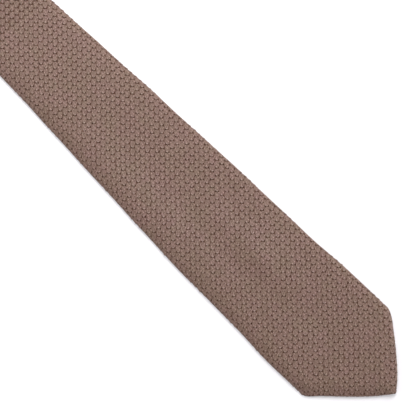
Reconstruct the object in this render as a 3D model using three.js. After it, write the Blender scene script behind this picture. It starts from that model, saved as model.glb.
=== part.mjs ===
// A coarse grenadine neck tie, laid flat and straight with its front upward.
//
// Millimetres, +Z up.  The tie lies along Y: the point of the wide blade is at
// the -Y end and the point of the narrow blade at the +Y end.  The surface that
// it rests on is z = 0, and the origin is at the middle of that footprint.
//
// Each of the three pieces is one cut of cloth.  Its two sides are folded under
// and lapped along the centre of the back, so each is a flattened tube with a
// real wall, open at both ends.  At the two points the folded sides stop on
// slanting edges, which leaves a diamond-shaped opening at the back.

import * as THREE from 'three';

// ---------------------------------------------------------------- dimensions
const TIE_LENGTH = 1480;      // point to point
const CLOTH = 1.2;            // cloth wall, a thick gauze weave
const FOLDED = 4.4;           // height of the folded tie at its side folds
const CROWN = 0.35;           // how much higher the front is along its middle
const TIP_HEIGHT = 2.8;       // height of the front along the edges of a point
const TIP_RISE = 26;          // distance over which it rises to FOLDED
const HEM = 7;                // rolled hem round a point
const LAP_OUTER = 5;          // outer side passes the centre line by this much
const LAP_INNER = 6;          // inner side passes it the other way
const STEP_START = 11.5;      // where the inner side starts to climb over
const STEP_END = 6.6;         // where it has climbed
const LAP_GAP = 0.3;          // clear space between the lapped sides
const SEAM_GAP = 0.46;        // clear space between two pieces at a bias seam, 0.3 in the folds
const FRONT_JOIN = 790;       // wide blade to neck piece, on the centre line
const TAIL_JOIN = 1050;       // neck piece to narrow blade, on the centre line
const BIAS = 1.0;             // slope of a bias seam: 45 degrees
const FOLD_STEPS = 6;         // facets round a side fold

// Half width of the folded tie.  "up" is measured from the point of the wide
// blade; "left" and "right" are the two folds, seen from above with the point
// toward the viewer.
const WIDTHS = [
  { up: 0,    left: 39.7, right: 40.0 },
  { up: 46,   left: 39.7, right: 40.0 },
  { up: 74,   left: 40.0, right: 40.0 },
  { up: 112,  left: 38.9, right: 38.4 },
  { up: 150,  left: 38.6, right: 37.8 },
  { up: 188,  left: 37.5, right: 36.9 },
  { up: 226,  left: 36.0, right: 35.3 },
  { up: 250,  left: 35.0, right: 34.9 },
  { up: 272,  left: 34.0, right: 34.0 },
  { up: 304,  left: 32.6, right: 32.4 },
  { up: 340,  left: 31.1, right: 31.0 },
  { up: 450,  left: 27.2, right: 27.1 },
  { up: 570,  left: 23.2, right: 23.2 },
  { up: 690,  left: 19.8, right: 19.8 },
  { up: 790,  left: 17.8, right: 17.8 },
  { up: 920,  left: 17.0, right: 17.0 },
  { up: 1050, left: 17.2, right: 17.2 },
  { up: 1180, left: 18.6, right: 18.6 },
  { up: 1310, left: 20.8, right: 20.8 },
  { up: 1410, left: 22.8, right: 22.8 },
  { up: 1480, left: 23.6, right: 23.6 },
];

// Edge of each point in the cloth.  "across" is measured over the cloth from
// the centre line, "up" from the tip of that point.  The wide point is a little
// lopsided: its tip is to the right of the centre line.
const WIDE_POINT = [
  { across: -41.4, up: 45.5 },
  { across: -37.6, up: 38.8 },
  { across: -30.0, up: 30.9 },
  { across: -20.0, up: 20.8 },
  { across: -10.5, up: 11.5 },
  { across: -4.5,  up: 6.2 },
  { across: 1.2,   up: 1.8 },
  { across: 3.9,   up: 0.0 },
  { across: 7.4,   up: 2.6 },
  { across: 12.6,  up: 6.9 },
  { across: 21.0,  up: 15.9 },
  { across: 30.0,  up: 26.2 },
  { across: 37.8,  up: 36.6 },
  { across: 41.4,  up: 44.5 },
];
const NARROW_POINT = [
  { across: -24.8, up: 27.6 },
  { across: -21.4, up: 22.6 },
  { across: -12.0, up: 12.6 },
  { across: -2.6,  up: 2.2 },
  { across: 0.0,   up: 0.0 },
  { across: 2.6,   up: 2.2 },
  { across: 12.0,  up: 12.6 },
  { across: 21.4,  up: 22.6 },
  { across: 24.8,  up: 27.6 },
];

// Lengthwise stations of each piece, as distances along its middle.
const WIDE_STATIONS = [0, 5, 11, 19, 30, 44, 62, 84, 112, 150, 188, 226, 250, 272,
  304, 340, 395, 450, 510, 570, 630, 690, 735, 765, 790];
const NECK_STATIONS = [790, 815, 850, 920, 990, 1025, 1050];
const TAIL_STATIONS = [1050, 1080, 1120, 1180, 1245, 1310, 1360, 1400, 1425, 1443,
  1456, 1466, 1473, 1478, 1480];

const COLOR = 0x85706a;       // pinkish brown silk
const ROUGHNESS = 0.72;

// ------------------------------------------------------------------- helpers
const lerp = (a, b, f) => a + (b - a) * f;
const clamp01 = (v) => Math.min(1, Math.max(0, v));
const smooth = (v) => { const c = clamp01(v); return c * c * (3 - 2 * c); };

function fromTable(rows, key, at, value) {
  if (at <= rows[0][key]) return rows[0][value];
  for (let i = 1; i < rows.length; i++) {
    if (at <= rows[i][key]) {
      const f = (at - rows[i - 1][key]) / (rows[i][key] - rows[i - 1][key]);
      return lerp(rows[i - 1][value], rows[i][value], f);
    }
  }
  return rows[rows.length - 1][value];
}

// Height above its tip at which a point's edge crosses the cloth.  Past the
// side folds the edge runs on at 45 degrees over the folded-under sides.
function pointEdge(rows, across) {
  const first = rows[0], last = rows[rows.length - 1];
  if (across < first.across) return first.up + (first.across - across);
  if (across > last.across) return last.up + (across - last.across);
  return fromTable(rows, 'across', across, 'up');
}

// -------------------------------------------- columns across a cut of cloth
// Each column is one lengthwise line of the cloth, from the free edge of the
// outer side (left), round the left fold, over the front, round the right fold
// and to the free edge of the inner side.  "zone" says which, and "f" is the
// place within it from 0 to 1.
function clothColumns(frontFractions) {
  const columns = [];
  for (const f of [1, 0.72, 0.44, 0.2]) columns.push({ zone: 'outer_side', f });
  for (let k = FOLD_STEPS; k >= 1; k--) columns.push({ zone: 'left_fold', f: k / FOLD_STEPS });
  for (const f of frontFractions) columns.push({ zone: 'front', f });
  for (let k = 1; k <= FOLD_STEPS; k++) columns.push({ zone: 'right_fold', f: k / FOLD_STEPS });
  for (const f of [0.3, 0.6]) columns.push({ zone: 'inner_side', f });
  columns.push({ zone: 'step', f: 0 }, { zone: 'step', f: 1 }, { zone: 'lap', f: 1 });
  return columns;
}

// Distance of a column from the centre line, measured over the flat cloth.
function acrossCloth(column, halfWidth) {
  const r = FOLDED / 2, mid = r - CLOTH / 2, flat = halfWidth - r, turn = Math.PI * mid;
  const { zone, f } = column;
  if (zone === 'front') return f * flat;
  if (zone === 'left_fold') return -(flat + f * turn);
  if (zone === 'right_fold') return flat + f * turn;
  if (zone === 'outer_side') return -(flat + turn + f * (flat + LAP_OUTER));
  const x = innerSideX(column, flat);
  return flat + turn + (flat - x);
}

function innerSideX(column, flat) {
  const start = Math.min(STEP_START, flat - 2);
  if (column.zone === 'inner_side') return lerp(flat, start, column.f);
  if (column.zone === 'step') return lerp(start, STEP_END, column.f);
  return -LAP_INNER;
}

// Outer and inner faces of the cloth at one column, "up" along the tie, "edge"
// being the distance from the nearest pointed edge (far away on plain cloth).
function wallAt(column, up, edge) {
  const { zone, f } = column;
  const side = zone === 'outer_side' || zone === 'left_fold' ? 'left'
    : zone === 'front' && f < 0 ? 'left' : 'right';
  const half = fromTable(WIDTHS, 'up', up, side);
  const height = lerp(TIP_HEIGHT, FOLDED, smooth(edge / TIP_RISE));
  const r = height / 2, flat = half - r;
  if (zone === 'front') {
    const top = height + CROWN * (1 - f * f) * smooth(edge / TIP_RISE);
    const nearFold = smooth((Math.abs(f * flat) - (flat - 13)) / 9);
    const hem = (1 - smooth((edge - HEM) / 4)) * (1 - nearFold);
    return { x: f * flat, out: top, in: lerp(top - CLOTH, 0, hem), dx: 0 };
  }
  if (zone === 'left_fold' || zone === 'right_fold') {
    const sign = zone === 'left_fold' ? -1 : 1;
    const turn = Math.PI * f, s = Math.sin(turn), c = Math.cos(turn);
    return { x: sign * (flat + r * s), out: r + r * c,
      in: r + (r - CLOTH) * c, dx: -sign * CLOTH * s };
  }
  if (zone === 'outer_side') {
    return { x: lerp(-flat, LAP_OUTER, f), out: 0, in: CLOTH, dx: 0 };
  }
  const x = innerSideX(column, flat);
  const lift = (CLOTH + LAP_GAP) * (zone === 'inner_side' ? 0 : zone === 'step' ? f : 1);
  return { x, out: lift, in: lift + CLOTH, dx: 0 };
}

// --------------------------------------------------------- one cut of cloth
// "start" and "end" give, for a column, where the cloth begins and ends along
// the tie.  The stations are sheared to meet both.
function cutOfCloth({ name, stations, columns, start, end, startZone, endZone,
  edgeDistance }) {
  const n = columns.length, m = stations.length;
  const first = stations[0], last = stations[m - 1];
  const outer = [], inner = [];
  for (const column of columns) {
    const lead = start(column) - first, trail = end(column) - last;
    for (const station of stations) {
      const up = station
        + lead * clamp01(1 - (station - first) / startZone)
        + trail * clamp01(1 - (last - station) / endZone);
      const wall = wallAt(column, up, edgeDistance(column, up));
      const y = up - TIE_LENGTH / 2;
      outer.push([wall.x, y, wall.out]);
      inner.push([wall.x + wall.dx, y, wall.in]);
    }
  }
  const vertices = [...outer, ...inner].flat();
  const at = (i, j) => i * m + j, under = (i, j) => n * m + i * m + j;
  const index = [];
  const quad = (a, b, c, d) => index.push(a, b, c, a, c, d);
  for (let i = 0; i < n - 1; i++) {
    for (let j = 0; j < m - 1; j++) {
      quad(at(i, j), at(i + 1, j), at(i + 1, j + 1), at(i, j + 1));
      quad(under(i, j), under(i, j + 1), under(i + 1, j + 1), under(i + 1, j));
    }
    quad(at(i + 1, 0), at(i, 0), under(i, 0), under(i + 1, 0));
    quad(at(i, m - 1), at(i + 1, m - 1), under(i + 1, m - 1), under(i, m - 1));
  }
  for (let j = 0; j < m - 1; j++) {
    quad(at(0, j), at(0, j + 1), under(0, j + 1), under(0, j));
    quad(at(n - 1, j + 1), at(n - 1, j), under(n - 1, j), under(n - 1, j + 1));
  }
  const geometry = new THREE.BufferGeometry();
  geometry.setAttribute('position', new THREE.Float32BufferAttribute(vertices, 3));
  geometry.setIndex(index);
  geometry.computeVertexNormals();
  const material = new THREE.MeshStandardMaterial({ color: COLOR, roughness: ROUGHNESS, metalness: 0 });
  const mesh = new THREE.Mesh(geometry, material);
  mesh.name = name;
  return mesh;
}

// -------------------------------------------------------------------- pieces
const HALF_SEAM = (SEAM_GAP / 2) * Math.SQRT2;   // along the tie, at 45 degrees
const FAR = 1000;
const DIAGONAL = Math.SQRT1_2;

const wideFractions = WIDE_POINT.slice(1, -1).map((row) => row.across / 37.8);
wideFractions[0] = -1;
wideFractions[wideFractions.length - 1] = 1;
const neckFractions = [-1, -0.5, 0, 0.5, 1];
const narrowFractions = NARROW_POINT.slice(1, -1).map((row) => row.across / 21.4);

// Half width of the folded tie where the flat cloth of each end is measured.
const WIDE_HALF = 40, NARROW_HALF = 23.6, FRONT_JOIN_HALF = 17.8, TAIL_JOIN_HALF = 17.2;

const wideEdge = (column) => pointEdge(WIDE_POINT, acrossCloth(column, WIDE_HALF));
const narrowEdge = (column) =>
  TIE_LENGTH - pointEdge(NARROW_POINT, acrossCloth(column, NARROW_HALF));
const frontSeam = (column) => FRONT_JOIN + BIAS * acrossCloth(column, FRONT_JOIN_HALF);
const tailSeam = (column) => TAIL_JOIN + BIAS * acrossCloth(column, TAIL_JOIN_HALF);

const frontBlade = cutOfCloth({
  name: 'front_blade',
  stations: WIDE_STATIONS,
  columns: clothColumns(wideFractions),
  start: wideEdge,
  end: (column) => frontSeam(column) - HALF_SEAM,
  startZone: 150,
  endZone: 120,
  edgeDistance: (column, up) => (up - wideEdge(column)) * DIAGONAL,
});

const neckPiece = cutOfCloth({
  name: 'neck_piece',
  stations: NECK_STATIONS,
  columns: clothColumns(neckFractions),
  start: (column) => frontSeam(column) + HALF_SEAM,
  end: (column) => tailSeam(column) - HALF_SEAM,
  startZone: 110,
  endZone: 110,
  edgeDistance: () => FAR,
});

const tailBlade = cutOfCloth({
  name: 'tail_blade',
  stations: TAIL_STATIONS,
  columns: clothColumns(narrowFractions),
  start: (column) => tailSeam(column) + HALF_SEAM,
  end: narrowEdge,
  startZone: 120,
  endZone: 120,
  edgeDistance: (column, up) => (narrowEdge(column) - up) * DIAGONAL,
});

const tie = new THREE.Group();
tie.name = 'grenadine_tie';
tie.add(frontBlade, neckPiece, tailBlade);

export default tie;
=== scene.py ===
import bpy
import math
import numpy as np
from mathutils import Matrix, Vector


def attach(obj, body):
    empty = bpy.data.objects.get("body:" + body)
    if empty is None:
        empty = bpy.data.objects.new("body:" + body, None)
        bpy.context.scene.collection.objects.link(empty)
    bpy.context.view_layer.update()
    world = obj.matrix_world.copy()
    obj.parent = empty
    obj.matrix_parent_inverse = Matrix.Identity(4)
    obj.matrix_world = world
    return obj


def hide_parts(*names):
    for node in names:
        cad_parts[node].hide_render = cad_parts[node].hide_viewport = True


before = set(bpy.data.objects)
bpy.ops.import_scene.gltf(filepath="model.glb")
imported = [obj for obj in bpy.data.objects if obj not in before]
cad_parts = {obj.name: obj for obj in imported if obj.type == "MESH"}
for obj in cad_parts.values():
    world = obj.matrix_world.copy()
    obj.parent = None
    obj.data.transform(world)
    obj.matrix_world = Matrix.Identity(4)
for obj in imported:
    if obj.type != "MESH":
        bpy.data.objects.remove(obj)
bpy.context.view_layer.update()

MM = 0.001

# ------------------------------------------------------------------ sizes, mm
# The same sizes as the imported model.  x is across the tie, "up" runs along it
# from the point of the wide blade (y = up - 740), z = 0 is the surface.
TIE_LENGTH = 1480.0
CLOTH = 1.2          # whole cloth, puffs included
INSET = 0.62         # the ground of the weave lies this far below its puffs
FOLDED = 4.4
SHOULDER = 11.5      # the front falls away over this much towards a side fold
DROP = 0.64          # share of the height that it has lost at the widest place
CROWN = 0.35
TIP_HEIGHT = 2.5     # at a point's edge, rising to the whole height
TIP_RISE = 9.0
POINT_LIFT = 2.4     # the wide point curls a little off the surface on its right
TIP_RIDGE = 0.45     # over the inner edge of the turned cloth
LAP_OUTER = 5.0
LAP_INNER = 6.0
STEP_START = 11.5
STEP_END = 6.6
LAP_LIFT = 1.5
HEM_ROLL = 1.24      # radius of the rolled edge of a point
EDGE_ROLL = 0.55     # radius of a plain edge
HEM_DEPTH = 6.0      # cloth turned under round a point
FRONT_JOIN = 790.0
TAIL_JOIN = 1050.0
SEAM_GAP = -0.36     # the puffs of two pieces meet over the seam
CUT_IN = 0.42        # plain edges of the ground lie this far inside the puffs

WIDTHS = np.array([
    # up     left  right
    (0.0,    39.3, 40.6),
    (46.0,   39.4, 40.6),
    (60.0,   39.7, 40.5),
    (74.0,   40.0, 40.1),
    (112.0,  38.9, 38.0),
    (150.0,  38.6, 37.6),
    (188.0,  37.5, 36.6),
    (226.0,  35.7, 35.0),
    (250.0,  34.5, 34.7),
    (272.0,  33.6, 33.7),
    (304.0,  32.3, 32.2),
    (340.0,  30.9, 30.9),
    (450.0,  27.2, 27.1),
    (570.0,  23.2, 23.2),
    (690.0,  19.8, 19.8),
    (790.0,  17.8, 17.8),
    (920.0,  17.0, 17.0),
    (1050.0, 17.2, 17.2),
    (1180.0, 18.6, 18.6),
    (1310.0, 20.8, 20.8),
    (1410.0, 22.8, 22.8),
    (1480.0, 23.6, 23.6),
])
WIDE_POINT = np.array([
    # across  up
    (-41.4, 43.2),
    (-37.6, 38.5),
    (-30.0, 30.5),
    (-20.0, 19.9),
    (-10.5, 10.5),
    (-4.5,  5.2),
    (1.2,   0.9),
    (4.0,   -0.9),
    (7.5,   1.5),
    (12.6,  5.7),
    (21.0,  14.5),
    (30.0,  24.8),
    (37.8,  35.7),
    (42.4,  43.6),
])
NARROW_POINT = np.array([
    (-24.8, 27.6),
    (-21.4, 22.6),
    (-12.0, 12.6),
    (-2.6,  2.2),
    (0.0,   0.0),
    (2.6,   2.2),
    (12.0,  12.6),
    (21.4,  22.6),
    (24.8,  27.6),
])
# Broad, faint places where the front was pressed flatter or stands raised; the same places are painted darker
# where pressed and lighter where raised, as painted shade and light.
PRESSING_AND_PAINTED_LIGHT = np.array([
    # up    across  long   wide  proud
    (190.0, -15.0,  85.0,  9.0,  0.8),
    (121.0, -3.0,   25.0,  6.0,  -1.2),
    (66.0,  -7.0,   16.0,  6.5,  0.6),
    (138.0, 10.0,   36.0,  7.0,  0.9),
    (122.0, 21.0,   18.0,  8.0,  0.7),
    (285.0, -28.0,  60.0,  7.0,  -0.5),
])

# The weave: columns of puffs on the bias of the tie, each column half a puff
# on from the last, every puff lifting towards its rounded lower end.
COLUMN = 3.28        # from column to column
PUFF = 5.14          # from puff to puff in a column
GRAIN = math.radians(45.4)
LEAN = math.tan(math.radians(1.2))


# ------------------------------------------------------------- small helpers
def smooth(v):
    v = np.clip(v, 0.0, 1.0)
    return v * v * (3.0 - 2.0 * v)


def curve_through(xs, ys, at):
    """Monotone cubic through the rows of a table."""
    xs, ys = np.asarray(xs, float), np.asarray(ys, float)
    h = np.diff(xs)
    d = np.diff(ys) / h
    m = np.zeros(len(xs))
    for i in range(1, len(xs) - 1):
        if d[i - 1] * d[i] > 0:
            a, b = 2 * h[i] + h[i - 1], h[i] + 2 * h[i - 1]
            m[i] = (a + b) / (a / d[i - 1] + b / d[i])
    m[0], m[-1] = d[0], d[-1]
    at = np.clip(np.asarray(at, float), xs[0], xs[-1])
    i = np.clip(np.searchsorted(xs, at) - 1, 0, len(xs) - 2)
    t = (at - xs[i]) / h[i]
    return ((1 + 2 * t) * (1 - t) ** 2 * ys[i] + t * (1 - t) ** 2 * h[i] * m[i]
            + t ** 2 * (3 - 2 * t) * ys[i + 1] + t ** 2 * (t - 1) * h[i] * m[i + 1])


UPS = np.linspace(0, TIE_LENGTH, 2961)
HALF_LEFT = curve_through(WIDTHS[:, 0], WIDTHS[:, 1], UPS)
HALF_RIGHT = curve_through(WIDTHS[:, 0], WIDTHS[:, 2], UPS)


def half_width(t, s):
    return np.where(s < 0, np.interp(t, UPS, HALF_LEFT), np.interp(t, UPS, HALF_RIGHT))


# -------------------------------------------------------- the pointed edges
class PointedEdge:
    """A point's edge over the flat cloth, and the distance from it."""

    def __init__(self, rows, apex):
        self.apex = apex
        xs = np.linspace(rows[0, 0] - 62, rows[-1, 0] + 62, 2001)
        ys = curve_through(rows[:, 0], rows[:, 1], xs)
        ys = np.where(xs < rows[0, 0], rows[0, 1] + rows[0, 0] - xs, ys)
        ys = np.where(xs > rows[-1, 0], rows[-1, 1] + xs - rows[-1, 0], ys)
        step = xs[1] - xs[0]
        k = np.arange(-24, 25) * step
        kernel = np.exp(-0.5 * (k / 0.75) ** 2)
        padded = np.pad(ys, 24, mode="reflect", reflect_type="odd")
        ys = np.convolve(padded, kernel / kernel.sum(), mode="valid")
        self.xs, self.ys = xs, ys
        slope = np.gradient(ys, xs)
        c = 1 / np.sqrt(1 + slope ** 2)
        self.step, self.s0, self.v0 = 0.5, xs[0] + 2, -27.0
        gs = np.arange(self.s0, xs[-1] - 2, self.step)
        gv = np.arange(self.v0, 46.0, self.step)
        self.grid = np.zeros((len(gs), len(gv), 4))
        for i, s in enumerate(gs):
            t = abs(s - apex) + gv
            near = np.abs(xs - s) < 40
            x, y = xs[near], ys[near]
            d2 = (s - x[None]) ** 2 + (t[:, None] - y[None]) ** 2
            j = np.argmin(d2, axis=1)
            d = np.sqrt(d2[np.arange(len(t)), j])
            inside = t > np.interp(s, xs, ys)
            jj = np.nonzero(near)[0][j]
            self.grid[i, :, 0] = np.where(inside, d, -d)
            self.grid[i, :, 1] = -slope[jj] * c[jj]
            self.grid[i, :, 2] = c[jj]
            self.grid[i, :, 3] = np.abs(x[j] - apex) * math.sqrt(2)

    def up(self, s):
        return np.interp(s, self.xs, self.ys)

    def at(self, s, t):
        """Distance inside the edge, direction into the cloth, and distance
        from the apex along the edge."""
        n, m = self.grid.shape[:2]
        a = np.clip((s - self.s0) / self.step, 0, n - 1.001)
        b = np.clip((t - np.abs(s - self.apex) - self.v0) / self.step, 0, m - 1.001)
        i, j = a.astype(int), b.astype(int)
        fa, fb = (a - i)[..., None], (b - j)[..., None]
        g = self.grid
        v = ((g[i, j] * (1 - fa) + g[i + 1, j] * fa) * (1 - fb)
             + (g[i, j + 1] * (1 - fa) + g[i + 1, j + 1] * fa) * fb)
        size = np.sqrt(v[..., 1] ** 2 + v[..., 2] ** 2)
        return v[..., 0], v[..., 1] / size, v[..., 2] / size, v[..., 3]


WIDE_EDGE = PointedEdge(WIDE_POINT, 4.0)
NARROW_EDGE = PointedEdge(NARROW_POINT, 0.0)


def pointed(piece, s, t):
    if piece == "front_blade":
        return WIDE_EDGE.at(s, t)
    e, ns, nt, q = NARROW_EDGE.at(s, TIE_LENGTH - t)
    return e, ns, -nt, q


def hemmed(piece, s):
    """1 where the pointed edge is a turned hem, 0 over the side folds."""
    half = 39.0 if piece == "front_blade" else 22.6
    return smooth((half - 1.5 - np.abs(s)) / 6.0)


# --------------------------------------------------------- the folded cloth
# The front rolls over gently towards a side fold and turns sharply beneath:
# a quarter of an ellipse, then a quarter of a circle.
PHI = np.linspace(0, math.pi / 2, 65)
_steps = np.hypot(np.diff(SHOULDER * np.sin(PHI)), np.diff(DROP * FOLDED * np.cos(PHI)))
ROUND = np.concatenate([[0.0], np.cumsum(_steps)]) / _steps.sum()


def fold_sizes(half, height):
    """Half width of the level front, and lengths round the fold's two parts."""
    r = DROP * height
    k = ((SHOULDER - r) / (SHOULDER + r)) ** 2
    over = math.pi / 4 * (SHOULDER + r) * (1 + 3 * k / (10 + np.sqrt(4 - 3 * k)))
    return half - SHOULDER, over, math.pi / 2 * (1 - DROP) * height


def proud_and_painted_light(s, t):
    return sum(row[4] * np.exp(-((t - row[0]) / row[2]) ** 2 - ((s - row[1]) / row[3]) ** 2) for row in PRESSING_AND_PAINTED_LIGHT)


def outer_face(piece, s, t):
    """The cloth's outer face as folded: s across the flat cloth, t along."""
    a = np.abs(s)
    half = half_width(t, s)
    lift, ridge = 1.0, 0.0
    if piece != "neck_piece":
        e = pointed(piece, s, t)[0]
        lift = 1 - (1 - np.clip(e / TIP_RISE, 0, 1)) ** 1.7
        ridge = TIP_RIDGE * smooth(e / TIP_RISE) * (1 - smooth((e - TIP_RISE) / 22.0))
    height = TIP_HEIGHT + (FOLDED - TIP_HEIGHT) * lift + ridge
    r = (1 - DROP) * height
    flat, over, beneath = fold_sizes(half, height)
    on_front = a <= flat
    upper = a <= flat + over
    phi = np.interp(np.clip((a - flat) / over, 0, 1), ROUND, PHI)
    turn = math.pi / 2 + np.clip((a - flat - over) / r, 0, math.pi / 2)
    back = np.maximum(a - flat - over - beneath, 0.0)
    top = height + CROWN * lift * (1 - np.clip(a / flat, 0, 1) ** 2)
    x_in = half - r - back
    climb = np.where(s > 0, smooth((STEP_START - x_in) / (STEP_START - STEP_END)), 0.0)
    x = np.where(on_front, a, np.where(upper, flat + SHOULDER * np.sin(phi),
                                       np.where(back > 0, x_in, half - r + r * np.sin(turn))))
    z = np.where(on_front, top, np.where(upper, r + DROP * height * np.cos(phi),
                                         np.where(back > 0, climb * LAP_LIFT, r + r * np.cos(turn))))
    # slow unevenness of a front that was folded and pressed by hand
    sway = (0.11 * np.sin(t * 0.047 + s * 0.031 + 0.6) + 0.09 * np.sin(t * 0.083 - s * 0.052 + 2.1)
            + 0.06 * np.sin(t * 0.021 + s * 0.09))
    if piece == "front_blade":
        sway = sway + 0.2 * proud_and_painted_light(s, t)
    z = z + sway * lift * on_front * smooth((flat - a) / 8.0)
    side = np.where(s < 0, -1.0, 1.0)
    wander = 0.14 * np.sin(t * 0.061 + side * 1.3) + 0.09 * np.sin(t * 0.143 + side * 2.2)
    ends = smooth(np.minimum(t, TIE_LENGTH - t) / 60.0)
    x = x + wander * ends * smooth(a / 12.0) * (1 - smooth(back / 9.0))
    if piece == "front_blade":
        curled = smooth((s + 6.0) / 12.0) * (1 - smooth((s - 19.0) / 19.0)) * smooth((50.0 - t + 0.3 * s) / 36.0)
        z = z + POINT_LIFT * (1 - 0.8 * lift) * curled
    return np.stack([x * side, t - TIE_LENGTH / 2.0, z], -1)


def folded(piece, s, t, out):
    d = 0.04
    p = outer_face(piece, s, t)
    across = outer_face(piece, s + d, t) - outer_face(piece, s - d, t)
    along = outer_face(piece, s, t + d) - outer_face(piece, s, t - d)
    n = np.cross(across, along)
    n /= np.maximum(np.linalg.norm(n, axis=-1, keepdims=True), 1e-9)
    return p + n * out[..., None]


def roll_under(e, rho, out, reach):
    """Rolls the cloth under at an edge of radius rho, and back inside by up to
    reach.  e is the distance inside the edge on the flat cloth."""
    w = np.maximum(rho - e, 0.0)
    phi = np.minimum(w / rho, math.pi)
    over = np.clip(w - math.pi * rho, 0.0, reach)
    inside = np.where(w > 0, rho - (rho + out) * np.sin(phi) + over, e)
    lower = np.where(w > 0, -rho * (1 - np.cos(phi)) + out * np.cos(phi), out)
    return inside, lower


def side_reach(t, s):
    """Distance across the flat cloth from the centre line to a free edge."""
    half = half_width(t, s)
    flat, over, beneath = fold_sizes(half, FOLDED)
    return (flat + over + beneath + half - (1 - DROP) * FOLDED
            + np.where(s < 0, LAP_OUTER, LAP_INNER))


SEAMS = {"front_blade": (None, FRONT_JOIN), "neck_piece": (FRONT_JOIN, TAIL_JOIN),
         "tail_blade": (TAIL_JOIN, None)}
DIAGONAL = math.sqrt(0.5)


def seam_distance(seam, sign, s, t):
    return sign * (t - seam - s) * DIAGONAL - SEAM_GAP / 2


def in_space(piece, s, t, out, core=False):
    """From the flat cloth to space, every edge rolled under.  The core, which
    is the ground of the weave, stays flat at a plain edge or a seam, and the
    puffs close over it."""
    s, t, out = np.broadcast_arrays(np.array(s, float), np.array(t, float), np.array(out, float))
    if piece != "neck_piece":
        e, ns, nt, q = pointed(piece, s, t)
        hem = hemmed(piece, s)
        rho = EDGE_ROLL + (HEM_ROLL - EDGE_ROLL) * hem
        reach = np.minimum(HEM_DEPTH, np.maximum(q - 0.6, 0.0)) * hem
        inside, lower = roll_under(e, rho, out, reach)
        if core:
            flat = np.maximum(e, 0.12)
            inside, lower = flat + (inside - flat) * hem, out + (lower - out) * hem
        s, t, out = s + ns * (inside - e), t + nt * (inside - e), lower
    for seam, sign in zip(SEAMS[piece], (1.0, -1.0)):
        if seam is not None and not core:
            e = seam_distance(seam, sign, s, t)
            inside, out = roll_under(e, EDGE_ROLL, out, 0.0)
            shift = sign * DIAGONAL * (inside - e)
            s, t = s - shift, t + shift
    reach = side_reach(t, s)
    inside, out = roll_under(reach - np.abs(s), EDGE_ROLL, out, 0.0)
    s = np.where(s < 0, -1.0, 1.0) * (reach - inside)
    return folded(piece, s, t, out)


# --------------------------------------------------------------- mesh making
def make_mesh(name, verts_mm, faces, material, uvs=None, floats=None, sharp=None):
    """faces is an (n, 4) array of corners."""
    me = bpy.data.meshes.new(name)
    verts = np.asarray(verts_mm, np.float64) * MM
    faces = np.asarray(faces, np.int64)
    me.vertices.add(len(verts))
    me.vertices.foreach_set("co", verts.astype(np.float32).ravel())
    me.loops.add(faces.size)
    me.loops.foreach_set("vertex_index", faces.astype(np.int32).ravel())
    me.polygons.add(len(faces))
    me.polygons.foreach_set("loop_start", np.arange(0, faces.size, faces.shape[1], dtype=np.int32))
    me.update(calc_edges=True)
    me.polygons.foreach_set("use_smooth", np.ones(len(me.polygons), bool))
    loops = faces.ravel()
    for uv_name, uv in (uvs or {}).items():
        layer = me.uv_layers.new(name=uv_name)
        layer.data.foreach_set("uv", np.asarray(uv, np.float32)[loops].ravel())
    for a_name, values in (floats or {}).items():
        att = me.attributes.new(a_name, "FLOAT", "POINT")
        att.data.foreach_set("value", np.asarray(values, np.float32))
    me.materials.append(material)
    if sharp:
        me.set_sharp_from_angle(angle=math.radians(sharp))
    ob = bpy.data.objects.new(name, me)
    bpy.context.scene.collection.objects.link(ob)
    return ob


def grid_quads(n, m, first=0):
    """Quads of an n by m grid of points that is numbered row by row."""
    i, j = np.meshgrid(np.arange(n - 1), np.arange(m - 1), indexing="ij")
    a = first + i * m + j
    return np.stack([a, a + m, a + m + 1, a + 1], -1).reshape(-1, 4)


# ------------------------------------------------------------------ materials
PINKISH = (0.298, 0.189, 0.161)
BROWN = (0.289, 0.191, 0.153)
OLIVE = (0.279, 0.193, 0.145)
PAINTED_GAP_SHADE = (0.31, 0.22, 0.182)       # painted shade down in a gap
LEVEL = (0.71, 0.67, 0.665)      # painted shade over the body of a puff; 1, its raised end, is a painted highlight


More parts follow.
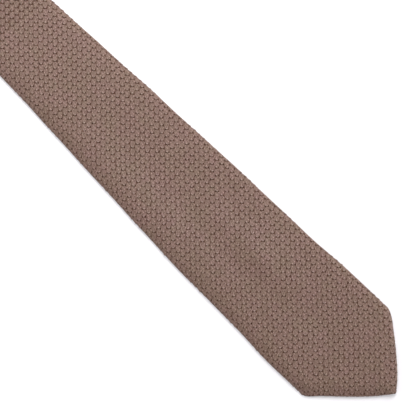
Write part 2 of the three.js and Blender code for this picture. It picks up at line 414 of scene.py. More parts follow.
def silk(name, shade, specular, sheen, bump_strength):
    """Dull silk yarn: slow drift of hue, flecks, a little change from puff to
    puff, fine threads along each puff, painted shade down in the gaps and a
    painted highlight on the raised end of each puff."""
    mat = bpy.data.materials.new(name)
    mat.use_nodes = True
    tree = mat.node_tree
    link = tree.links.new
    bsdf = tree.nodes["Principled BSDF"]
    bsdf.inputs["Specular IOR Level"].default_value = specular
    bsdf.inputs["Sheen Weight"].default_value = sheen
    bsdf.inputs["Sheen Roughness"].default_value = 0.45
    bsdf.inputs["Sheen Tint"].default_value = (0.92, 0.80, 0.72, 1)

    def add(kind, **settings):
        n = tree.nodes.new(kind)
        for key, value in settings.items():
            setattr(n, key, value)
        return n

    def noise(scale, detail, roughness=0.5, over=None):
        n = add("ShaderNodeTexNoise")
        n.inputs["Scale"].default_value = scale
        n.inputs["Detail"].default_value = detail
        n.inputs["Roughness"].default_value = roughness
        link(over or place.outputs["Object"], n.inputs["Vector"])
        return n.outputs["Fac"]

    def remap(value, low, high, to_low, to_high):
        n = add("ShaderNodeMapRange")
        for key, v in (("From Min", low), ("From Max", high), ("To Min", to_low), ("To Max", to_high)):
            n.inputs[key].default_value = v
        link(value, n.inputs["Value"])
        return n.outputs["Result"]

    def times(a, b):
        n = add("ShaderNodeMath", operation="MULTIPLY")
        link(a, n.inputs[0])
        link(b, n.inputs[1])
        return n.outputs[0]

    def ramp(value, stops):
        n = add("ShaderNodeValToRGB")
        elements = n.color_ramp.elements
        elements[0].position, elements[1].position = stops[0][0], stops[-1][0]
        elements[0].color, elements[1].color = (*stops[0][1], 1), (*stops[-1][1], 1)
        for position, colour in stops[1:-1]:
            elements.new(position).color = (*colour, 1)
        link(value, n.inputs["Fac"])
        return n.outputs["Color"]

    def multiply(a, b):
        n = add("ShaderNodeMix", data_type="RGBA", blend_type="MULTIPLY")
        n.inputs["Factor"].default_value = 1.0
        link(a, n.inputs[6])
        link(b, n.inputs[7])
        return n.outputs[2]

    place = add("ShaderNodeTexCoord")
    drift = ramp(noise(90.0, 3.0, 0.75), [(0.34, [c * shade for c in PINKISH]),
                                          (0.50, [c * shade for c in BROWN]),
                                          (0.66, [c * shade for c in OLIVE])])
    uv = add("ShaderNodeUVMap", uv_map="weave")
    fleck = noise(2.1, 1.0, 0.5, uv.outputs["UV"])
    chance = add("ShaderNodeAttribute", attribute_name="chance")
    painted_shade = add("ShaderNodeAttribute", attribute_name="painted_shade")
    # painted shade and highlight: gaps deep brown, puff bodies darker, raised ends a pale painted highlight
    shade_and_highlight_paint = ramp(painted_shade.outputs["Fac"], [(0.0, PAINTED_GAP_SHADE), (0.75, LEVEL), (1.0, (0.93, 0.98, 1.02))])
    strands = add("ShaderNodeTexWave", wave_type="BANDS", bands_direction="X")
    for key, v in (("Scale", 0.29), ("Distortion", 2.6), ("Detail", 1.0), ("Detail Scale", 2.5)):
        strands.inputs[key].default_value = v
    link(uv.outputs["UV"], strands.inputs["Vector"])
    value = times(times(remap(fleck, 0.2, 0.8, 0.32, 1.68), remap(chance.outputs["Fac"], 0, 1, 0.96, 1.04)),
                  times(remap(noise(2.9, 0.0, 0.5, uv.outputs["UV"]), 0.2, 0.8, 0.42, 1.58),
                        remap(strands.outputs["Fac"], 0.0, 1.0, 0.91, 1.07)))
    grey = add("ShaderNodeCombineColor")
    # an equal step of light and dark to the eye in each channel
    for k, share in enumerate((0.86, 1.02, 1.10)):
        n = add("ShaderNodeMath", operation="MULTIPLY_ADD")
        n.inputs[1].default_value, n.inputs[2].default_value = share, 1.0 - share
        link(value, n.inputs[0])
        link(n.outputs[0], grey.inputs[k])
    link(multiply(multiply(drift, shade_and_highlight_paint), grey.outputs["Color"]), bsdf.inputs["Base Color"])

    threads = add("ShaderNodeTexWave", wave_type="BANDS", bands_direction="X")
    threads.inputs["Scale"].default_value = 2.2
    threads.inputs["Distortion"].default_value = 1.4
    threads.inputs["Detail"].default_value = 2.0
    threads.inputs["Detail Scale"].default_value = 1.3
    link(uv.outputs["UV"], threads.inputs["Vector"])
    height = add("ShaderNodeMix", data_type="FLOAT")
    height.inputs[0].default_value = 0.5
    link(threads.outputs["Fac"], height.inputs[2])
    link(strands.outputs["Fac"], height.inputs[3])
    bump = add("ShaderNodeBump")
    bump.inputs["Strength"].default_value = bump_strength
    bump.inputs["Distance"].default_value = 0.00014
    link(height.outputs[0], bump.inputs["Height"])
    link(bump.outputs["Normal"], bsdf.inputs["Normal"])
    link(remap(fleck, 0.25, 0.75, 0.36, 0.55), bsdf.inputs["Roughness"])
    return mat


puff_silk = silk("grenadine_puffs", 1.0, 0.30, 0.05, 0.5)
# the ground, seen down in the gaps, is painted a tenth darker as shade
ground_silk = silk("grenadine_ground", 0.9, 0.05, 0.02, 0.6)

# ------------------------------------------------------- the cloth's ground
FRONT_COLUMNS = {"front_blade": 30, "neck_piece": 14, "tail_blade": 18}
STATIONS = {
    "front_blade": (0.0, 790.0, 62),
    "neck_piece": (790.0, 1050.0, 20),
    "tail_blade": (1050.0, 1480.0, 34),
}


def cloth_columns(piece):
    """(zone, place) of each lengthwise column, from left edge to right edge."""
    cols = [("left_side", f) for f in (1.0, 0.97, 0.85, 0.68, 0.5, 0.33, 0.16)]
    cols += [("left_beneath", f) for f in np.linspace(1, 0, 6)[:-1]]
    cols += [("left_over", f) for f in np.linspace(1, 0, 8)[:-1]]
    front = np.linspace(-1, 1, FRONT_COLUMNS[piece] + 1)
    cols += [("front", f) for f in front]
    cols += [("right_over", f) for f in np.linspace(0, 1, 8)[1:]]
    cols += [("right_beneath", f) for f in np.linspace(0, 1, 6)[1:]]
    cols += [("right_side", f) for f in (0.3, 0.62)]
    cols += [("right_lap", x) for x in (13.0, 11.5, 10.3, 9.2, 8.1, 7.1, 6.3, 5.0, 3.0, 0.0, -3.0,
                                        -LAP_INNER + 0.8, -LAP_INNER + CUT_IN)]
    return cols


def column_place(column, t):
    """Distance across the flat cloth of a column, t along the tie."""
    zone, f = column
    side = -1.0 if zone.startswith("left") or (zone == "front" and f < 0) else 1.0
    half = half_width(t, np.full_like(t, side))
    flat, over, beneath = fold_sizes(half, FOLDED)
    turned, inner = flat + over + beneath, half - (1 - DROP) * FOLDED
    if zone == "front":
        return f * flat
    if zone.endswith("over"):
        return side * (flat + f * over)
    if zone.endswith("beneath"):
        return side * (flat + over + f * beneath)
    if zone == "left_side":
        return -(turned + f * (inner + LAP_OUTER - CUT_IN))
    if zone == "right_side":
        return turned + f * (inner - 13.0)
    return turned + inner - f


INNER_ROWS = np.array([2.4, 3.5, 4.7, 6.0, 7.4, 9.0, 11.0, 14.0, 18.0, 23.0, 29.0])


def edge_rows(hem, q):
    """Distances inside a pointed edge of its rows, from the outermost."""
    rolls = [1.0, 0.9, 0.8, 0.68, 0.56, 0.44, 0.32, 0.2, 0.08]
    reach = min(HEM_DEPTH, max(q - 0.6, 0.0))
    under = HEM_ROLL * (1 - math.pi)
    turned = [under - reach, under - reach * 0.5] + [HEM_ROLL * (1 - math.pi * p) for p in rolls]
    plain = np.linspace(0.12, CUT_IN + 0.9, len(turned))
    rows = np.array(turned) * hem + plain * (1 - hem)
    return np.concatenate([rows, INNER_ROWS])


def cloth_ground(piece, name):
    cols = cloth_columns(piece)
    first, last, count = STATIONS[piece]
    start_seam, end_seam = SEAMS[piece]
    seam_rows = [0.01 - SEAM_GAP / 2, 0.7, 1.8]
    lines = []
    for column in cols:
        def seam_up(seam, sign, e):
            t = np.array([seam], float)
            for _ in range(6):
                t = seam + column_place(column, t) + sign * (e + SEAM_GAP / 2) / DIAGONAL
            return float(t[0])

        def point_up(e, wide):
            t = np.array([0.0 if wide else TIE_LENGTH])
            for _ in range(6):
                s = column_place(column, t)
                up = (WIDE_EDGE if wide else NARROW_EDGE).up(s) + e / DIAGONAL
                t = up if wide else TIE_LENGTH - up
            return float(t[0])

        def point_rows(wide):
            t = np.array([point_up(0.0, wide)])
            s = column_place(column, t)
            hem = float(hemmed(piece, s)[0])
            q = abs(float(s[0]) - (4.0 if wide else 0.0)) * math.sqrt(2)
            return [point_up(e, wide) for e in edge_rows(hem, q)]

        head = point_rows(True) if start_seam is None else [seam_up(start_seam, 1, e) for e in seam_rows]
        foot = point_rows(False) if end_seam is None else [seam_up(end_seam, -1, e) for e in seam_rows]
        low, high = head[-1], foot[-1]
        body = [low + (high - low) * k / count for k in range(1, count)]
        ts = np.array(head + body + foot[::-1])
        lines.append(np.stack([column_place(column, ts), ts], -1))
    flat = np.array(lines)                       # columns x rows x (s, t)
    n, m = flat.shape[:2]
    s, t = flat[..., 0], flat[..., 1]
    top = in_space(piece, s, t, np.full_like(s, -INSET), core=True).reshape(-1, 3)
    low = in_space(piece, s, t, np.full_like(s, -CLOTH), core=True).reshape(-1, 3)
    quads = grid_quads(n, m)
    under = grid_quads(n, m, n * m)[:, ::-1]
    i, j = np.arange(n - 1), np.arange(m - 1)
    off = n * m
    near = np.stack([(i + 1) * m, i * m, off + i * m, off + (i + 1) * m], -1)
    far = np.stack([i * m + m - 1, (i + 1) * m + m - 1, off + (i + 1) * m + m - 1, off + i * m + m - 1], -1)
    left = np.stack([j, j + 1, off + j + 1, off + j], -1)
    last_col = (n - 1) * m
    right = np.stack([last_col + j + 1, last_col + j, off + last_col + j, off + last_col + j + 1], -1)
    faces = np.concatenate([quads, under, near, far, left, right])
    uv = np.stack([s.ravel() / 3.0, t.ravel() / 3.0], -1)
    ones = np.ones(2 * n * m)
    # painted shade: the top of the ground, down in the gaps, is painted nearly as dark as a gap, its rims and
    # underside less so
    open_top = np.full((n, m), 0.05)
    open_top[:2], open_top[-2:] = 0.45, 0.45
    open_top[:, :2], open_top[:, -2:] = 0.45, 0.45
    painted_shade = np.concatenate([open_top.ravel(), np.full(n * m, 0.40)])
    ob = make_mesh(name, np.concatenate([top, low]), faces, ground_silk,
                   uvs={"weave": np.concatenate([uv, uv])},
                   floats={"chance": ones * 0.5, "painted_shade": painted_shade}, sharp=55)
    # flat size of the cut, before it was folded
    ds = np.abs(np.diff(s, axis=0))
    dt = np.diff(t, axis=1)
    cell = 0.5 * (ds[:, 1:] + ds[:, :-1]) * 0.5 * (dt[1:] + dt[:-1])
    width = float((s[-1] - s[0]).max()) * MM
    length = float(t.max() - t.min()) * MM
    return ob, (width, length), float(np.abs(cell).sum()) * MM * MM


# ------------------------------------------------------------------ the puffs
# One puff, from under the end of the one before it to its own rounded end.
#   along   place along the column, mm from the last puff's end
#   high    height above the ground, mm
#   wide    half width, as a share of half a column
#   curl    how far its sides lag behind its middle, mm
#   shade   painted shade: 1 is open to the light and painted lightest, 0 is down in a gap
PUFF_FINE = np.array([
    # along  high   wide  curl  shade
    (-0.45, -0.16,  0.68, 0.00, 0.25),
    (0.02,  0.19,   0.86, 0.00, 0.60),
    (0.32,  0.24,   1.02, 0.00, 0.74),
    (0.95,  0.27,   1.16, 0.00, 0.75),
    (1.95,  0.28,   1.14, 0.03, 0.75),
    (2.95,  0.28,   1.14, 0.12, 0.75),
    (3.55,  0.30,   1.07, 0.30, 0.77),
    (3.92,  0.41,   0.94, 0.46, 0.92),
    (4.22,  0.52,   0.82, 0.62, 1.00),
    (4.56,  0.53,   0.72, 0.80, 0.96),
    (4.82,  0.37,   0.64, 0.94, 0.76),
    (4.90,  -0.10,  0.60, 1.00, 0.50),
])
PUFF_PLAIN = np.array([
    (-0.45, -0.16,  0.70, 0.00, 0.25),
    (0.22,  0.22,   1.00, 0.00, 0.71),
    (1.50,  0.28,   1.15, 0.02, 0.75),
    (3.30,  0.29,   1.11, 0.24, 0.76),
    (4.25,  0.52,   0.82, 0.62, 0.99),
    (4.78,  0.40,   0.66, 0.90, 0.80),
    (4.90,  -0.12,  0.60, 1.00, 0.45),
])
# Across a puff: place, share of the height over its body and at its end, and
# the painted shade, how open to the light, at its start, over its body and at its end.
ACROSS_FINE = np.array([
    (-1.00, -1.0, -1.0, 0.35, 0.75, 0.20),
    (-0.90, 0.82, 0.42, 0.70, 0.97, 0.55),
    (-0.52, 0.95, 0.86, 0.96, 1.00, 0.92),
    (0.00,  1.00, 1.00, 1.00, 1.00, 1.00),
    (0.52,  0.95, 0.86, 0.96, 1.00, 0.92),
    (0.90,  0.82, 0.42, 0.70, 0.97, 0.55),
    (1.00,  -1.0, -1.0, 0.35, 0.75, 0.20),
])
ACROSS_PLAIN = np.array([
    (-1.00, -1.0, -1.0, 0.35, 0.75, 0.20),
    (-0.82, 0.86, 0.58, 0.80, 0.98, 0.66),
    (0.00,  1.00, 1.00, 1.00, 1.00, 1.00),
    (0.82,  0.86, 0.58, 0.80, 0.98, 0.66),
    (1.00,  -1.0, -1.0, 0.35, 0.75, 0.20),
])
NOSE = np.array([-math.sin(GRAIN), -math.cos(GRAIN)])
RIGHT = np.array([math.cos(GRAIN), -math.sin(GRAIN)])
WEAVE_START = np.array([4.38, 171.2])


def weave_to_flat(u, v):
    """From the weave's own columns and rows to the flat cloth: the columns
    lean a little and the rows sway."""
    sway = 0.0105 * u + 0.0524 * 90.0 * (np.cos(u / 90.0) - 1.0)
    wavy = 0.22 * np.sin(u * 0.105 + v * 0.021) + 0.16 * np.sin(u * 0.043 - v * 0.068 + 1.0)
    drift = 0.20 * np.sin(v * 0.061 + u * 0.017 + 2.0) + 0.12 * np.sin(v * 0.137 - u * 0.05)
    uu = u + v * LEAN + drift
    vv = v + sway + wavy
    return (WEAVE_START[0] + uu * RIGHT[0] + vv * NOSE[0],
            WEAVE_START[1] + uu * RIGHT[1] + vv * NOSE[1])


def puffs(name, piece, wanted, template, across, seed, wrong_side=False):
    """Joined puffs over the part of a piece that "wanted" picks."""
    s_max = 95.0 if piece == "front_blade" else 60.0
    t_lo = {"front_blade": -17.0, "neck_piece": 720.0, "tail_blade": 980.0}[piece]
    t_hi = {"front_blade": 890.0, "neck_piece": 1120.0, "tail_blade": 1497.0}[piece]
    corners = np.array([(s, t) for s in (-s_max, s_max) for t in (t_lo, t_hi)]) - WEAVE_START
    us, vs = corners @ RIGHT, corners @ NOSE
    i = np.arange(int(us.min() / COLUMN) - 8, int(us.max() / COLUMN) + 9)
    j = np.arange(int(vs.min() / PUFF) - 8, int(vs.max() / PUFF) + 9)
    ii, jj = (g.ravel() for g in np.meshgrid(i, j, indexing="ij"))
    u0, v0 = ii * COLUMN, (jj + 0.5 * (ii % 2)) * PUFF
    s, t = weave_to_flat(u0, v0 + 0.55 * PUFF)
    keep = (np.abs(s) < s_max) & (t > t_lo) & (t < t_hi)
    u0, v0, s, t = (a[keep] for a in (u0, v0, s, t))
    keep = side_reach(t, s) - np.abs(s) > -1.9
    for seam, sign in zip(SEAMS[piece], (1.0, -1.0)):
        if seam is not None:
            keep &= seam_distance(seam, sign, s, t) > -2.1
    if piece != "neck_piece":
        e, _, _, q = pointed(piece, s, t)
        hem = hemmed(piece, s)
        rho = EDGE_ROLL + (HEM_ROLL - EDGE_ROLL) * hem
        reach = np.minimum(HEM_DEPTH, np.maximum(q - 0.6, 0.0)) * hem
        keep &= np.where(hem > 0.2, e > -(math.pi - 1) * rho - reach - 0.6, e > -2.1)
    else:
        e = np.full_like(s, 1e3)
    keep &= wanted(s, t, e)
    u0, v0, s, t = (a[keep] for a in (u0, v0, s, t))
    count = len(u0)
    rng = np.random.default_rng(seed)
    chance = rng.random(count)
    jitter = np.clip(rng.normal(0, 1, (7, count)), -2.2, 2.2)[:, :, None, None]
    xi, body, end, open_start, open_body, open_end = across.T
    rows = template[:, :, None]
    n, m = len(template), len(xi)
    edge = body < 0
    at_end = smooth((rows[:, 0] - 3.0) / 1.4)
    along = rows[:, 0] + 0.09 * jitter[1] * at_end - rows[:, 3] * np.abs(xi) ** 2.2
    side = xi * rows[:, 2] * COLUMN / 2 * (1 + 0.02 * jitter[0] + 0.04 * jitter[5] * at_end)
    side = side + 0.08 * jitter[6] * at_end
    crest = rows[:, 1]
    raised = (body + (end - body) * at_end) * crest
    high = np.where(edge | (crest < -0.1), -0.15, raised)
    tall = 1 + (0.03 + 0.07 * at_end) * jitter[2] + 0.05 * jitter[3] * xi
    high = np.where(high > 0, high * tall, high)
    high = np.minimum(high, INSET + 0.04)
    u = u0[:, None, None] + side + 0.06 * jitter[4]
    v = v0[:, None, None] + along
    ss, tt = weave_to_flat(u, v)
    pressed = np.zeros_like(ss)
    if piece != "neck_piece" and not wrong_side:
        inside = pointed(piece, ss, tt)[0]
        pressed = (1 - smooth((inside - 0.4) / 2.4)) * smooth((inside + 4.0) / 1.5)
        high = np.where(high > 0, high + (0.33 - high) * 0.7 * pressed, high)
    out = high - INSET
    if wrong_side:
        out = -CLOTH - 0.6 * high
        e, ns, nt, _ = pointed(piece, ss, tt)
        push = np.maximum(0.7 - e, 0.0)
        ss, tt = ss + ns * push, tt + nt * push
    xyz = in_space(piece, ss, tt, out)
    at_start = smooth((0.95 - rows[:, 0]) / 0.8)
    openness = open_body + (open_end - open_body) * at_end + (open_start - open_body) * at_start
    # painted shade and highlight at every point of each puff
    shade = np.broadcast_to(rows[:, 4] * openness, u.shape)
    open_edge = 0.80
    if piece == "front_blade" and not wrong_side:
        # painted shade in bands along the left fold and the point's left edge,
        # and a painted highlight along the point's right edge
        inward = ss + half_width(tt, ss)
        fold = (smooth((11.0 - inward) / 8.0) * smooth((inward + 16.0) / 10.0) * (ss < 0)
                * (0.07 + 0.05 * (1 - smooth((tt - 60.0) / 200.0))) * (1 - smooth((tt - 420.0) / 200.0)))
        hem = 0.12 * smooth((6.0 - inside) / 5.0) * smooth((8.0 - ss) / 10.0)
        # painted light and shade: the broad places are painted lighter where raised and darker where pressed
        shade = np.maximum(shade + (0.09 * proud_and_painted_light(ss, tt) - np.maximum(fold, hem)) * shade / 0.75, 0.0)
        # painted shade and highlight at the rolled edge: darker on the left, lighter on the right
        open_edge = 0.72 + 0.26 * smooth((ss - 3.0) / 8.0)
        # painted highlight along the right edge of the point
        rim = (1 - smooth((inside - 0.9) / 1.0)) * smooth((inside + 4.0) / 1.5) * smooth((ss - 8.0) / 6.0)
        shade = shade + np.maximum(1.0 - shade, 0.0) * 0.9 * rim
    # the gaps of a rolled edge, pressed shallower, get less painted shade, eased towards open_edge
    shade = shade + np.maximum(open_edge - shade, 0.0) * 0.6 * pressed
    first = np.arange(count)[:, None, None] * (n * m)
    quads = (grid_quads(n, m)[None] + first).reshape(-1, 4)
    if wrong_side:
        quads = quads[:, ::-1]
    across_uv = np.broadcast_to(xi * 1.6, u.shape) + chance[:, None, None] * 7.0
    along_uv = np.broadcast_to(rows[:, 0] * 0.35, u.shape) + chance[:, None, None] * 3.0
    tiles = int(math.ceil(math.sqrt(count)))
    k = np.arange(count)[:, None, None]
    tile_u = (k % tiles + 0.04 + 0.92 * (xi + 1) / 2) / tiles
    tile_v = (k // tiles + 0.04 + 0.92 * (np.arange(n)[:, None] / (n - 1))) / tiles
    tile_u, tile_v = np.broadcast_to(tile_u, u.shape), np.broadcast_to(tile_v, u.shape)
    ob = make_mesh(
        name, xyz.reshape(-1, 3), quads, puff_silk,
        uvs={"weave": np.stack([across_uv, along_uv], -1).reshape(-1, 2),
             "OFBake": np.stack([tile_u, tile_v], -1).reshape(-1, 2)},
        floats={"chance": np.broadcast_to(chance[:, None, None], u.shape).ravel(),
                "painted_shade": shade.ravel()})
    print(name, count, "puffs", len(quads) * 2, "triangles")
    return ob


# ------------------------------------------------------------- making it all
SPLIT = 352.0        # the fine puffs end here


def on_front(s, t):
    return np.abs(s) < half_width(t, s) + 2.6


ground, sizes = {}, {}
for piece, name in (("front_blade", "front_cloth"), ("neck_piece", "neck_cloth"), ("tail_blade", "tail_cloth")):
    ground[piece], *sizes[piece] = cloth_ground(piece, name)

weave = {
    "front_blade": [
        puffs("front_weave_point", "front_blade",
              lambda s, t, e: on_front(s, t) & (t < 170.0) & (e > -1.6), PUFF_FINE, ACROSS_FINE, 10),
        puffs("front_weave_lower", "front_blade",
              lambda s, t, e: on_front(s, t) & (t >= 170.0) & (t < SPLIT), PUFF_FINE, ACROSS_FINE, 11),
        puffs("front_weave_upper", "front_blade",
              lambda s, t, e: on_front(s, t) & (t >= SPLIT) & (e > -1.6), PUFF_PLAIN, ACROSS_PLAIN, 12),
        puffs("front_weave_back", "front_blade",
              lambda s, t, e: ~(on_front(s, t) & (e > -1.6)), PUFF_PLAIN, ACROSS_PLAIN, 13),
        puffs("front_weave_inside", "front_blade",
              lambda s, t, e: (np.abs(s) < 40.5) & (e > 0.7 + 2.0 * hemmed("front_blade", s)) & (t < 92), PUFF_PLAIN, ACROSS_PLAIN, 14,
              wrong_side=True),
    ],
    "neck_piece": [
        puffs("neck_weave", "neck_piece", lambda s, t, e: s < 1e9, PUFF_PLAIN, ACROSS_PLAIN, 15),
    ],
    "tail_blade": [
        puffs("tail_weave_front", "tail_blade",
              lambda s, t, e: on_front(s, t) & (e > -1.6), PUFF_PLAIN, ACROSS_PLAIN, 16),
        puffs("tail_weave_back", "tail_blade",
              lambda s, t, e: ~(on_front(s, t) & (e > -1.6)), PUFF_PLAIN, ACROSS_PLAIN, 17),
        puffs("tail_weave_inside", "tail_blade",
              lambda s, t, e: (np.abs(s) < 24.0) & (e > 0.7 + 2.0 * hemmed("tail_blade", s)) & (t > 1422), PUFF_PLAIN, ACROSS_PLAIN, 18,
              wrong_side=True),
    ],
}


# ------------------------------------------------------------------ stitches
# A slip stitch closes the back: each stitch goes from just inside the outer
# flap's edge over to the flap that it lies on.
STITCH_STEP = 11.5
THREAD = 0.19        # radius
SLIP = {"front_blade": (101.0, 748.0), "neck_piece": (750.0, 1010.0), "tail_blade": (1012.0, 1404.0)}


def thread_silk():
    mat = bpy.data.materials.new("sewing_thread")
    mat.use_nodes = True
    tree = mat.node_tree
    bsdf = tree.nodes["Principled BSDF"]
    uv = tree.nodes.new("ShaderNodeUVMap")
    uv.uv_map = "weave"
    twist = tree.nodes.new("ShaderNodeTexWave")
    twist.bands_direction = "DIAGONAL"
    twist.inputs["Scale"].default_value = 1.2
    twist.inputs["Distortion"].default_value = 0.6
    tree.links.new(uv.outputs["UV"], twist.inputs["Vector"])
    tint = tree.nodes.new("ShaderNodeValToRGB")
    tint.color_ramp.elements[0].color = (0.105, 0.062, 0.047, 1)
    tint.color_ramp.elements[1].color = (0.190, 0.121, 0.096, 1)
    tree.links.new(twist.outputs["Fac"], tint.inputs["Fac"])
    tree.links.new(tint.outputs["Color"], bsdf.inputs["Base Color"])
    bump = tree.nodes.new("ShaderNodeBump")
    bump.inputs["Strength"].default_value = 0.6
    bump.inputs["Distance"].default_value = 0.00005
    tree.links.new(twist.outputs["Fac"], bump.inputs["Height"])
    tree.links.new(bump.outputs["Normal"], bsdf.inputs["Normal"])
    bsdf.inputs["Roughness"].default_value = 0.42
    bsdf.inputs["Specular IOR Level"].default_value = 0.35
    return mat


thread = thread_silk()


def on_flap(side, x_in, t, out):
    """A place on a side flap, x_in from the centre line of the tie."""
    t = np.asarray(t, float)
    half = half_width(t, np.full_like(t, side))
    flat, over, beneath = fold_sizes(half, FOLDED)
    s = side * (flat + over + beneath + half - (1 - DROP) * FOLDED - x_in)
    reach = side_reach(t, s)
    inside, out = roll_under(reach - np.abs(s), EDGE_ROLL, np.full_like(t, out), 0.0)
    return folded("neck_piece", side * (reach - inside), t, out)


def tubes(name, paths, radius, material):
    """Joined threads, one along each path of mm points."""
    sides = 6
    turn = np.linspace(0, 2 * math.pi, sides, endpoint=False)
    verts, faces, uvs, first = [], [], [], 0
    for path in paths:
        knots = np.asarray(path)
        at = np.linspace(0, len(knots) - 1, 3 * (len(knots) - 1) + 1)
        line = np.stack([curve_through(np.arange(len(knots)), knots[:, k], at) for k in range(3)], -1)
        ahead = np.gradient(line, axis=0)
        ahead /= np.linalg.norm(ahead, axis=1, keepdims=True)
        side = np.cross(ahead, [0.0, 0.0, 1.0])
        side /= np.linalg.norm(side, axis=1, keepdims=True)
        rise = np.cross(side, ahead)
        ring = (line[:, None] + radius * (np.cos(turn)[None, :, None] * side[:, None]
                                          + np.sin(turn)[None, :, None] * rise[:, None]))
        n = len(line)
        k, j = np.meshgrid(np.arange(n - 1), np.arange(sides), indexing="ij")
        a, b = first + k * sides + j, first + k * sides + (j + 1) % sides
        faces.append(np.stack([a, b, b + sides, a + sides], -1).reshape(-1, 4))
        length = np.concatenate([[0.0], np.cumsum(np.linalg.norm(np.diff(line, axis=0), axis=1))])
        uvs.append(np.stack(np.broadcast_arrays(np.arange(sides) / sides, length[:, None]), -1).reshape(-1, 2))
        verts.append(ring.reshape(-1, 3))
        first += n * sides
    return make_mesh(name, np.concatenate(verts), np.concatenate(faces), material,
                     uvs={"weave": np.concatenate(uvs)})


def arc(start_in, start, end, end_in, bow):
    """In through the cloth, over in a low arc, and in again."""
    mid = [start + (end - start) * f + np.array(bow) * math.sin(math.pi * f) for f in (0.3, 0.6)]
    return [start_in, start, *mid, end, end_in]


def slip_stitches(piece):
    low, high = SLIP[piece]
    rng = np.random.default_rng({"front_blade": 21, "neck_piece": 22, "tail_blade": 23}[piece])
    paths = []
    for t in np.arange(low, high, STITCH_STEP):
        t = t + rng.uniform(-0.9, 0.9)
        run = 2.6 + rng.uniform(-0.5, 0.5)
        near, far = -LAP_OUTER + 1.0 + rng.uniform(-0.1, 0.2), 7.0 + rng.uniform(-0.3, 0.3)
        paths.append(arc(on_flap(-1.0, near + 0.7, t - 0.3, -0.6), on_flap(-1.0, near, t, -0.2),
                         on_flap(1.0, far, t + run, 0.05), on_flap(1.0, far + 0.7, t + run + 0.3, -0.5),
                         (0.30, 0.0, -0.20)))
    # a bar of threads side by side where the closed part ends
    for t in {"front_blade": [96.0], "tail_blade": [1409.0]}.get(piece, []):
        for k in range(6):
            tt = t + 0.33 * k
            near, far = -LAP_OUTER + 2.4 + rng.uniform(-0.2, 0.2), 9.6 + rng.uniform(-0.2, 0.2)
            paths.append(arc(on_flap(-1.0, near + 0.3, tt, -0.6), on_flap(-1.0, near, tt, -0.2),
                             on_flap(1.0, far, tt, 0.05), on_flap(1.0, far + 0.3, tt, -0.5),
                             (0.35, 0.0, -0.15)))
    return paths


def hem_stitches(piece):
    """Short slanting stitches over the raw edge of the cloth turned under."""
    wide = piece == "front_blade"
    edge, apex, limit = (WIDE_EDGE, 4.0, 30.0) if wide else (NARROW_EDGE, 0.0, 15.0)
    rng = np.random.default_rng(31 if wide else 32)
    paths = []
    for side in (-1.0, 1.0):
        for s0 in np.arange(7.5, limit, 4.4):
            s0 = apex + side * (s0 + rng.uniform(-0.4, 0.4))
            up0 = float(edge.up(s0))
            into = np.array([side * -DIAGONAL, DIAGONAL])
            along = np.array([side * DIAGONAL, DIAGONAL])

            def place(e, slide, out):
                s, up = np.array([s0, up0]) + into * e + along * slide
                return in_space(piece, s, up if wide else TIE_LENGTH - up, out)

            raw = -(math.pi - 1) * HEM_ROLL - HEM_DEPTH
            paths.append(arc(place(raw + 2.0, 0.0, -0.6), place(raw + 1.2, 0.1, 0.0),
                             place(HEM_ROLL + HEM_DEPTH + 1.1, 1.5, -CLOTH - 0.25),
                             place(HEM_ROLL + HEM_DEPTH + 1.7, 1.7, -CLOTH + 0.4),
                             (0.0, 0.0, -0.25)))
    return paths


for piece in ("front_blade", "neck_piece", "tail_blade"):
    short = piece.split("_")[0]
    weave[piece].append(tubes(short + "_back_stitch", slip_stitches(piece), THREAD, thread))
    if piece != "neck_piece":
        weave[piece].append(tubes(short + "_hem_stitch", hem_stitches(piece), THREAD * 0.8, thread))

for piece in ("front_blade", "neck_piece", "tail_blade"):
    base = ground[piece]
    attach(base, "root")
    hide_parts(piece)
    for ob in weave[piece]:
        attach(ob, "root")


# -------------------------------------------------------------- floor, lights
def plain_material(name, colour, roughness, glow=0.0):
    mat = bpy.data.materials.new(name)
    mat.use_nodes = True
    bsdf = mat.node_tree.nodes["Principled BSDF"]
    bsdf.inputs["Base Color"].default_value = (*colour, 1)
    bsdf.inputs["Roughness"].default_value = roughness
    bsdf.inputs["Specular IOR Level"].default_value = 0.2
    bsdf.inputs["Emission Color"].default_value = (1, 1, 1, 1)
    bsdf.inputs["Emission Strength"].default_value = glow
    return mat


floor_me = bpy.data.meshes.new("floor")
w, z = 25.0, -0.00005
floor_me.from_pydata([(-w, -w, z), (w, -w, z), (w, w, z), (-w, w, z)], [], [(0, 1, 2, 3)])
floor_me.materials.append(plain_material("white_paper", (0.76, 0.745, 0.775), 0.8, 0.2))
floor = bpy.data.objects.new("floor", floor_me)
bpy.context.scene.collection.objects.link(floor)


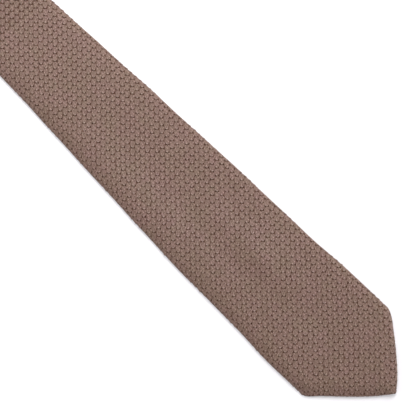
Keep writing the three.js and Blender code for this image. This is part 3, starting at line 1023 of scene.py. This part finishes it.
def soft_light(name, place, aim, size, watts, colour=(1, 1, 1)):
    data = bpy.data.lights.new(name, "AREA")
    data.shape = "DISK"
    data.size = size
    data.energy = watts
    data.color = colour
    ob = bpy.data.objects.new(name, data)
    ob.location = place
    ob.rotation_euler = (Vector(aim) - Vector(place)).to_track_quat("-Z", "Y").to_euler()
    bpy.context.scene.collection.objects.link(ob)
    return ob


AIM = (0.0, -0.57, 0.0)
soft_light("key", (1.20, 0.35, 1.82), (0.1, 2.0, 0.0), 2.6, 89.0, (1.0, 0.99, 0.975))
soft_light("fill", (-1.4, 0.6, 1.2), AIM, 1.0, 3.0)

world = bpy.data.worlds.new("studio")
bpy.context.scene.world = world
world.use_nodes = True
sky = world.node_tree.nodes["Background"]
sky.inputs["Color"].default_value = (0.98, 0.985, 1.0, 1)
sky.inputs["Strength"].default_value = 0.530

view = bpy.context.scene.view_settings
view.view_transform = "Standard"
view.look = "None"
view.exposure = 0.0
view.gamma = 1.0


# --------------------------------------------------------------------- camera
def look_down(centre_mm, distance_mm, tilt_deg, roll_deg, focal_px):
    """A camera over the tie, tilted a little up it and turned so that the tie
    runs from corner to corner."""
    tilt, roll = math.radians(tilt_deg), math.radians(roll_deg)
    ahead = Vector((0, math.sin(tilt), -math.cos(tilt)))
    up = Vector((0, math.cos(tilt), math.sin(tilt)))
    right = Vector((1, 0, 0))
    cam_right = right * math.cos(roll) - up * math.sin(roll)
    cam_up = right * math.sin(roll) + up * math.cos(roll)
    data = bpy.data.cameras.new("camera")
    data.sensor_width = 36.0
    data.lens = 36.0 * focal_px / 416.0
    data.clip_start, data.clip_end = 0.01, 50.0
    ob = bpy.data.objects.new("camera", data)
    turn = Matrix((cam_right, cam_up, -ahead)).transposed().to_4x4()
    turn.translation = (Vector(centre_mm) - ahead * distance_mm) * MM
    ob.matrix_world = turn
    bpy.context.scene.collection.objects.link(ob)
    bpy.context.scene.camera = ob


look_down((4.38, -568.8, 0.0), 876.0, 8.0, 45.4, 1323.0)

bpy.context.view_layer.update()
